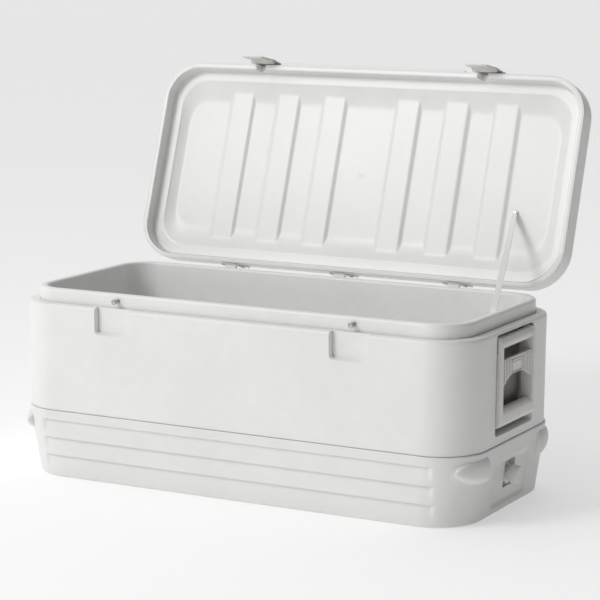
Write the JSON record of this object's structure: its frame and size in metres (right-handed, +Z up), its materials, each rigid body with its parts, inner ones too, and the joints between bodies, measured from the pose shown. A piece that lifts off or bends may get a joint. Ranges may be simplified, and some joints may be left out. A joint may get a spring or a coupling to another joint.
{
  "type": "cooler",
  "caption": "Long insulated chest cooler, hinged lid open on a strap, latches, folding end handles and screw-capped drain.",
  "frame": {"origin": "centre of the underside of the base pan, on the ground plane", "axes": "+X along the length towards the end with the drain, +Y to the back where the lid is hinged, +Z up"},
  "size_m": [0.9803, 0.6561, 0.7842],
  "materials": {
    "shell_plastic": "satin moulded off-white plastic",
    "base_plastic": "satin moulded off-white plastic",
    "liner_plastic": "smooth moulded off-white plastic",
    "fitting_plastic": "satin moulded off-white plastic",
    "handle_plastic": "satin moulded off-white plastic",
    "strap_plastic": "flexible off-white strap",
    "foam": "closed-cell insulating foam",
    "seal_rubber": "matte",
    "steel": "plain stainless steel"
  },
  "bodies": {
    "cooler_body": {"body_shell": "shell_plastic", "base_pan": "base_plastic", "tub_liner": "liner_plastic", "body_foam": "foam", "foam_fill_plugs": "base_plastic", "hinge_left_body_leaf": "fitting_plastic", "hinge_left_pin": "steel", "hinge_middle_body_leaf": "fitting_plastic", "hinge_middle_pin": "steel", "hinge_right_body_leaf": "fitting_plastic", "hinge_right_pin": "steel", "hinge_body_screws": "steel", "keeper_stud_left": "steel", "keeper_stud_right": "steel", "handle_left_mount": "handle_plastic", "handle_left_pins": "steel", "handle_right_mount": "handle_plastic", "handle_right_pins": "steel", "handle_mount_screws": "steel", "drain_spout": "fitting_plastic", "drain_gasket": "seal_rubber", "drain_nut": "fitting_plastic", "stay_strap": "strap_plastic", "strap_tub_anchor": "fitting_plastic", "strap_tub_screw": "steel"},
    "lid": {"lid_cover": "shell_plastic", "lid_liner": "liner_plastic", "lid_foam": "foam", "hinge_left_lid_leaf": "fitting_plastic", "hinge_middle_lid_leaf": "fitting_plastic", "hinge_right_lid_leaf": "fitting_plastic", "hinge_lid_screws": "steel", "latch_left_bracket": "fitting_plastic", "latch_left_pin": "steel", "latch_right_bracket": "fitting_plastic", "latch_right_pin": "steel", "latch_bracket_screws": "steel", "strap_lid_anchor": "fitting_plastic", "strap_lid_screw": "steel"},
    "latch_left_arm": {"latch_left": "fitting_plastic"},
    "latch_right_arm": {"latch_right": "fitting_plastic"},
    "handle_left_bail": {"handle_left": "handle_plastic"},
    "handle_right_bail": {"handle_right": "handle_plastic"},
    "drain_washer": {"drain_cap_washer": "seal_rubber"},
    "drain_cap_turning": {"drain_cap": "fitting_plastic"}
  },
  "joints": [
    {"name": "lid_hinge", "type": "hinge", "parent": "cooler_body", "child": "lid", "pos_m": [0, 0.225, 0.352], "axis": [1, 0, 0], "range_deg": [0, 109], "deforming": ["stay_strap"]},
    {"name": "latch_left_pivot", "type": "hinge", "parent": "lid", "child": "latch_left_arm", "pos_m": [-0.249, 0.38716, 0.76152], "axis": [-1, 0, 0], "range_deg": [-4, 85]},
    {"name": "latch_right_pivot", "type": "hinge", "parent": "lid", "child": "latch_right_arm", "pos_m": [0.249, 0.38716, 0.76152], "axis": [-1, 0, 0], "range_deg": [-4, 85]},
    {"name": "handle_right_pivot", "type": "hinge", "parent": "cooler_body", "child": "handle_right_bail", "pos_m": [0.472, 0, 0.316], "axis": [0, -1, 0], "range_deg": [0, 95]},
    {"name": "handle_left_pivot", "type": "hinge", "parent": "cooler_body", "child": "handle_left_bail", "pos_m": [-0.472, 0, 0.316], "axis": [0, 1, 0], "range_deg": [0, 95]},
    {"name": "drain_cap_travel", "type": "slide", "parent": "cooler_body", "child": "drain_washer", "axis": [1, 0, 0], "range_m": [0, 0.012]},
    {"name": "drain_cap_turn", "type": "hinge", "parent": "drain_washer", "child": "drain_cap_turning", "pos_m": [0.475, 0, 0.065], "axis": [1, 0, 0], "range_deg": [0, 1080]}
  ],
  "couplings": [
    {"joint": "drain_cap_turn", "follows": "drain_cap_travel", "rad_per_m": 1570.8}
  ]
}
